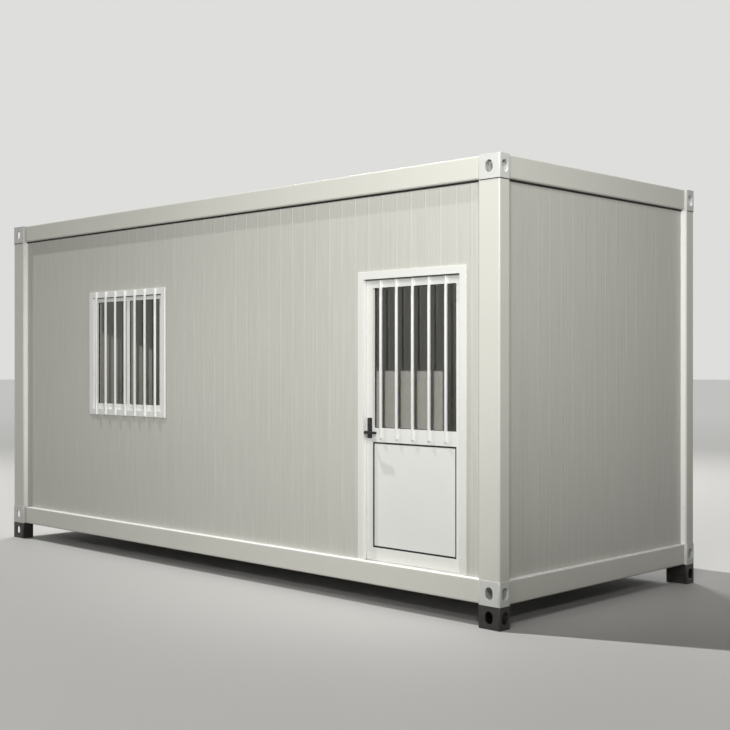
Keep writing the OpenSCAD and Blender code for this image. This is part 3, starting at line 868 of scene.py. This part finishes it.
class HOUSE_OT_windows(HouseOperator):
    """Finish both windows and add their security bars and beads, and a black strip under each head
    that is painted shade
    """

    bl_idname = "house.windows"
    bl_label = "Windows"

    def build(self, sizes):
        for side, turn in (("front", 0.0), ("back", HALF_TURN)):
            dress([f"{side}_window_frame", f"{side}_window_sashes"], "window_upvc", 1.5 * MM)
            dress([f"{side}_window_glass"], "window_glass")
            self.bars(sizes, side, turn)
            self.beads(sizes, side, turn)
            self.head_seal(sizes, side, turn)

    def bars(self, sizes, side, turn):
        """Square bars over the whole height of the window frame, screwed to its face."""
        low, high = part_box("front_window_frame")
        across = ((low.x + high.x) / 2, low.y, sizes.window_bars, sizes.window_bar_pitch)
        ends = (low.z + sizes.window_bar_gap, high.z - sizes.window_bar_gap)
        insets = (17 * MM, 17 * MM)
        add_bars(sizes, f"{side}_window_bar", "house", across, ends, insets, turn)

    def beads(self, sizes, side, turn):
        """Rubber beads round both panes, outside and inside."""
        low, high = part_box("front_window_glass")
        xs = steps_along("front_window_glass", 0)
        mesh = bmesh.new()
        for x0, x1 in (xs[:2], xs[-2:]):
            add_beads(mesh, (x0, low.y, low.z), (x1, high.y, high.z), sizes)
        add_piece(f"{side}_window_beads", mesh, "seal_rubber", "house", turn)

    def head_seal(self, sizes, side, turn):
        """Black rubber lip between the head of the frame and the sashes: painted shade, standing in
        for the shadow line under the head.
        """
        low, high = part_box("front_window_sashes")
        lip = 20 * MM
        mesh = bmesh.new()
        add_box(mesh, (low.x, low.y - lip, high.z - sizes.head_seal), (high.x, low.y, high.z))
        add_piece(f"{side}_window_head_seal", mesh, "seal_rubber", "house", turn)


class HOUSE_OT_door(HouseOperator):
    """Finish the door and add its bars, seals, lock and the hinges' screws; the black strip under
    the head is painted shade
    """

    bl_idname = "house.door"
    bl_label = "Door"

    def build(self, sizes):
        dress(["door_frame", "door_leaf", "door_panel"], "door_powder_coat", 1.5 * MM)
        dress(["door_glass"], "door_glass")
        dress(["door_frame_hinges", "door_leaf_hinges"], "stainless", 0.5 * MM)
        dress(["door_handle_plates", "door_lever"], "handle_black", 2 * MM)
        self.bars(sizes)
        self.seals(sizes)
        self.lock(sizes)
        self.hinge_screws(sizes)

    def bars(self, sizes):
        """Square bars in front of the pane, from the top rail to the middle rail."""
        low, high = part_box("door_glass")
        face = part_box("door_leaf")[0].y
        across = ((low.x + high.x) / 2, face, sizes.door_bars, sizes.door_bar_pitch)
        ends = (low.z - sizes.door_bar_foot, high.z + sizes.door_bar_head)
        insets = (18 * MM, 14 * MM)
        add_bars(sizes, "door_bar", "door", across, ends, insets)

    def seals(self, sizes):
        """Rubber in the sunk line round the lower panel and round the pane, and a black strip under
        the head that is painted shade, standing in for the shadow line there.
        """
        leaf_low, leaf_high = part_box("door_leaf")
        low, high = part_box("door_panel")
        x0, x1 = low.x + sizes.groove, high.x - sizes.groove
        z0, z1 = low.z + sizes.groove, high.z - sizes.groove
        sunk, bed = 3 * MM, 12 * MM
        mesh = bmesh.new()
        for y0, y1 in (
            (leaf_low.y + sunk, leaf_low.y + bed),
            (leaf_high.y - bed, leaf_high.y - sunk),
        ):
            add_ring(mesh, (x0, y0, z0), (x1, y1, z1), sizes.panel_line)
        add_piece("door_panel_seal", mesh, "seal_rubber", "door")
        mesh = bmesh.new()
        add_beads(mesh, *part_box("door_glass"), sizes)
        add_piece("door_glass_beads", mesh, "seal_rubber", "door")
        lap = 12 * MM
        x0, x1, face = leaf_low.x + lap, leaf_high.x - lap, leaf_low.y
        stop_z, foot_z = leaf_high.z - lap, leaf_low.z
        # The black strip under the head is painted shade, standing in for the head's shadow line.
        outer, inner = face - 22 * MM, face - 5 * MM
        mesh = bmesh.new()
        add_box(mesh, (x0, outer, stop_z - sizes.head_seal), (x1, inner, stop_z))
        add_piece("door_head_seal", mesh, "seal_rubber", "house")
        outer, inner = face + 1 * MM, face + 7 * MM
        mesh = bmesh.new()
        add_box(mesh, (x0, outer, foot_z - sizes.sweep_height), (x1, inner, foot_z))
        add_piece("door_sweep", mesh, "trim_upvc", "door")

    def lock(self, sizes):
        """Lock cylinder and screws in the handle plates."""
        low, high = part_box("door_handle_plates")
        lever_low, lever_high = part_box("door_lever")
        x, spindle_z = (low.x + high.x) / 2, (lever_low.z + lever_high.z) / 2
        rise, foot_inset, head_inset = 62 * MM, 10 * MM, 12 * MM
        cylinder = ((8.5 * MM, 0), (8.5 * MM, 2 * MM), (7.5 * MM, 3 * MM))
        mesh = bmesh.new()
        for y, out in ((low.y, -1), (high.y, 1)):
            add_turned(mesh, cylinder, (x, y, spindle_z + rise), (0, out, 0), 32)
            for z in (low.z + foot_inset, high.z - head_inset):
                add_screw(mesh, (x, y, z), (0, out, 0), sizes.plate_screw)
        add_piece("door_lock_cylinder", mesh, "handle_black", "door")

    def hinge_screws(self, sizes):
        """Four screws down the middle of each hinge plate."""
        half_hinge, inset, pitch, plate = 60 * MM, 13 * MM, 28 * MM, 3 * MM
        plate_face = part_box("door_leaf")[1].y + plate
        for node, body in (("door_leaf_hinges", "door"), ("door_frame_hinges", "house")):
            low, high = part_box(node)
            x = low.x + inset if body == "door" else high.x - inset
            first, last = low.z + half_hinge, high.z - half_hinge
            mesh = bmesh.new()
            for middle in (first, (first + last) / 2, last):
                for step in (-1.5, -0.5, 0.5, 1.5):
                    place = (x, plate_face, middle + step * pitch)
                    add_screw(mesh, place, (0, 1, 0), sizes.plate_screw)
            add_piece(node + "_screws", mesh, "stainless", body)


class HOUSE_OT_interior(HouseOperator):
    """Fit the skirting round the room"""

    bl_idname = "house.interior"
    bl_label = "Interior"

    def build(self, sizes):
        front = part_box("front_wall_middle")[1].y
        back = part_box("back_wall_right")[0].y
        left_low, left_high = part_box("left_end_wall")
        left, floor = left_high.x, left_low.z
        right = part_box("right_end_wall")[0].x
        door_low, door_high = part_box("door_frame")
        depth, height = sizes.skirting_depth, sizes.skirting_height
        runs = {
            "front_left": ((left, front), (door_low.x, front + depth)),
            "front_right": ((door_high.x, front), (right, front + depth)),
            "back": ((left, back - depth), (right, back)),
            "left": ((left, front + depth), (left + depth, back - depth)),
            "right": ((right - depth, front + depth), (right, back - depth)),
        }
        for name, (one, other) in runs.items():
            mesh = bmesh.new()
            add_box(mesh, (*one, floor), (*other, floor + height))
            soften(mesh, 2.5 * MM)
            add_piece(f"skirting_{name}", mesh, "trim_upvc", "house")


class HOUSE_OT_stage(bpy.types.Operator):
    """Set up the floor, the lamps, the surroundings and the camera"""

    bl_idname = "house.stage"
    bl_label = "Studio"

    def execute(self, context):
        studio = context.scene.studio_settings
        self.floor(studio)
        self.surroundings(context.scene, studio)
        self.lamps(context.scene, studio)
        self.camera(context.scene)
        return {"FINISHED"}

    def seen(self, tree):
        """1 where the camera looks at it, straight or by way of a mirror or a pane."""
        rays = add_node(tree, "LightPath")
        looked_at = rays.outputs["Is Camera Ray"]
        for way in ("Is Glossy Ray", "Is Transmission Ray"):
            looked_at = reckoned(tree, "MAXIMUM", looked_at, rays.outputs[way])
        return looked_at

    def floor(self, studio):
        """A wide plain floor, pale to the camera and greyer in the light it throws on the house."""
        reach, fade_from, fade_to = 120.0, 7.0, 36.0
        mesh = bmesh.new()
        corners = ((-reach, -reach), (reach, -reach), (reach, reach), (-reach, reach))
        mesh.faces.new([mesh.verts.new((x, y, 0)) for x, y in corners])
        data = bpy.data.meshes.new("studio_floor")
        mesh.to_mesh(data)
        mesh.free()
        material, tree, shader = new_finish("studio_floor", tuple(studio.floor_pale), 0.6)
        away = add_node(
            tree, "VectorMath", {"operation": "LENGTH"}, {0: place_in_house(tree)}
        ).outputs["Value"]
        far = add_node(
            tree,
            "MapRange",
            {"interpolation_type": "SMOOTHSTEP"},
            {"Value": away, "From Min": fade_from, "From Max": fade_to},
        ).outputs["Result"]
        pale = mixed(tree, far, tuple(studio.floor_pale), tuple(studio.floor_far))
        tone = mixed(tree, self.seen(tree), tuple(studio.floor_grey), pale)
        connect(tree, shader, Base_Color=tone)
        data.materials.append(material)
        floor = bpy.data.objects.new("studio_floor", data)
        bpy.context.scene.collection.objects.link(floor)

    def surroundings(self, scene, studio):
        """Even light from all round, and a pale backdrop to what looks past the house."""
        world = bpy.data.worlds.new("studio")
        scene.world = world
        world.use_nodes = True
        tree = world.node_tree
        light = tree.nodes["Background"]
        light.inputs["Color"].default_value = (1, 1, 1, 1)
        light.inputs["Strength"].default_value = studio.sky_light
        backdrop = add_node(
            tree, "Background", inputs={"Color": (*studio.backdrop, 1), "Strength": 1.0}
        )
        sight = add_node(
            tree,
            "MixShader",
            inputs={
                0: self.seen(tree),
                1: light.outputs["Background"],
                2: backdrop.outputs["Background"],
            },
        )
        tree.links.new(sight.outputs["Shader"], tree.nodes["World Output"].inputs["Surface"])

    def lamps(self, scene, studio):
        """A high key, a soft lamp over the door's corner, a fill and a tall strip on the camera's
        two sides, a lamp that shines along the front wall, and a soft rim from behind."""
        sun_width = math.radians(1.0)
        self.lamp(scene, "key", "SUN", studio.key_light, sun_width, (-2.34, -1.0, 4.9), (0, 0, 0))
        top = self.lamp(
            scene, "top", "SPOT", studio.top_light, 1.0, (5.73, -5.47, 5.99), (2.6, -1.2, 2.8)
        )
        fill = self.lamp(
            scene, "fill", "SPOT", studio.fill_light, 0.02, (8.08, -7.12, 3.85), (2.1, -1.2, 2.9)
        )
        edge = self.lamp(
            scene, "edge", "SPOT", studio.edge_light, 0.4, (3.2, -2.05, 1.9), (-2.9, -1.19, 1.6)
        )
        for spot, cone in ((top, 56), (fill, 48), (edge, 30)):
            spot.spot_size = math.radians(cone)
            spot.spot_blend = 1.0
        for spot in (fill, edge):
            self.keep_even(spot)
        strip = self.lamp(
            scene, "strip", "AREA", studio.strip_light, 0.4, (4.6, -10.4, 2.3), (1.8, -1.2, 2.0)
        )
        strip.shape = "RECTANGLE"
        strip.size_y = 4.0
        self.lamp(scene, "rim", "AREA", studio.rim_light, 4.0, (-7.0, 8.0, 7.0), (0, 0, 1.4))

    def keep_even(self, lamp):
        """Gives a lamp the same strength near and far: that which it has at 10 m."""
        as_at = 10.0
        lamp.use_nodes = True
        tree = lamp.node_tree
        even = add_node(tree, "LightFalloff", inputs={"Strength": 1.0}).outputs["Constant"]
        weaker = reckoned(tree, "MULTIPLY", even, 1 / as_at**2)
        tree.links.new(weaker, tree.nodes["Emission"].inputs["Strength"])

    def lamp(self, scene, name, kind, energy, size, place, target):
        """Adds a lamp of a size at a place, aimed at a target."""
        data = bpy.data.lights.new(name, kind)
        data.energy = energy
        if kind == "SUN":
            data.angle = size
        elif kind == "AREA":
            data.shape = "DISK"
            data.size = size
        else:
            data.shadow_soft_size = size
        holder = bpy.data.objects.new(name, data)
        holder.location = place
        aim = Vector(target) - Vector(place)
        holder.rotation_euler = aim.to_track_quat("-Z", "Y").to_euler()
        scene.collection.objects.link(holder)
        return data

    def camera(self, scene):
        """The camera at eye height, looking at the corner beside the door."""
        data = bpy.data.cameras.new("camera")
        data.lens = 59.46
        camera = bpy.data.objects.new("camera", data)
        camera.location = (7.7776, -7.2677, 1.6927)
        camera.rotation_euler = Euler((math.radians(90), 0, math.radians(44.509)))
        scene.collection.objects.link(camera)
        scene.camera = camera
        scene.view_settings.view_transform = "Standard"


class HOUSE_PT_looks(bpy.types.Panel):
    """Lists the operators, and the sizes, colours and lamps that they use"""

    bl_label = "Container House"
    bl_idname = "HOUSE_PT_looks"
    bl_space_type = "VIEW_3D"
    bl_region_type = "UI"
    bl_category = "House"

    def draw(self, context):
        for operator in OPERATORS:
            self.layout.operator(operator.bl_idname)
        for title, settings in (
            ("Sizes", context.scene.house_sizes),
            ("Colours", context.scene.house_colours),
            ("Studio", context.scene.studio_settings),
        ):
            box = self.layout.box()
            box.label(text=title)
            for name in settings.__annotations__:
                box.prop(settings, name)


OPERATORS = (
    HOUSE_OT_steel_frame,
    HOUSE_OT_walls,
    HOUSE_OT_roof_and_floor,
    HOUSE_OT_windows,
    HOUSE_OT_door,
    HOUSE_OT_interior,
    HOUSE_OT_stage,
)
SETTINGS = {
    "house_sizes": HouseSizes,
    "house_colours": HouseColours,
    "studio_settings": StudioSettings,
}


def register():
    for group in SETTINGS.values():
        bpy.utils.register_class(group)
    for operator in OPERATORS:
        bpy.utils.register_class(operator)
    bpy.utils.register_class(HOUSE_PT_looks)
    for name, group in SETTINGS.items():
        setattr(bpy.types.Scene, name, PointerProperty(type=group))


def unregister():
    for name in SETTINGS:
        delattr(bpy.types.Scene, name)
    bpy.utils.unregister_class(HOUSE_PT_looks)
    for operator in reversed(OPERATORS):
        bpy.utils.unregister_class(operator)
    for group in SETTINGS.values():
        bpy.utils.unregister_class(group)


def main():
    """Builds the looks, one operator after another."""
    register()
    bpy.ops.house.steel_frame()
    bpy.ops.house.walls()
    bpy.ops.house.roof_and_floor()
    bpy.ops.house.windows()
    bpy.ops.house.door()
    bpy.ops.house.interior()
    bpy.ops.house.stage()


if __name__ == "__main__":
    main()
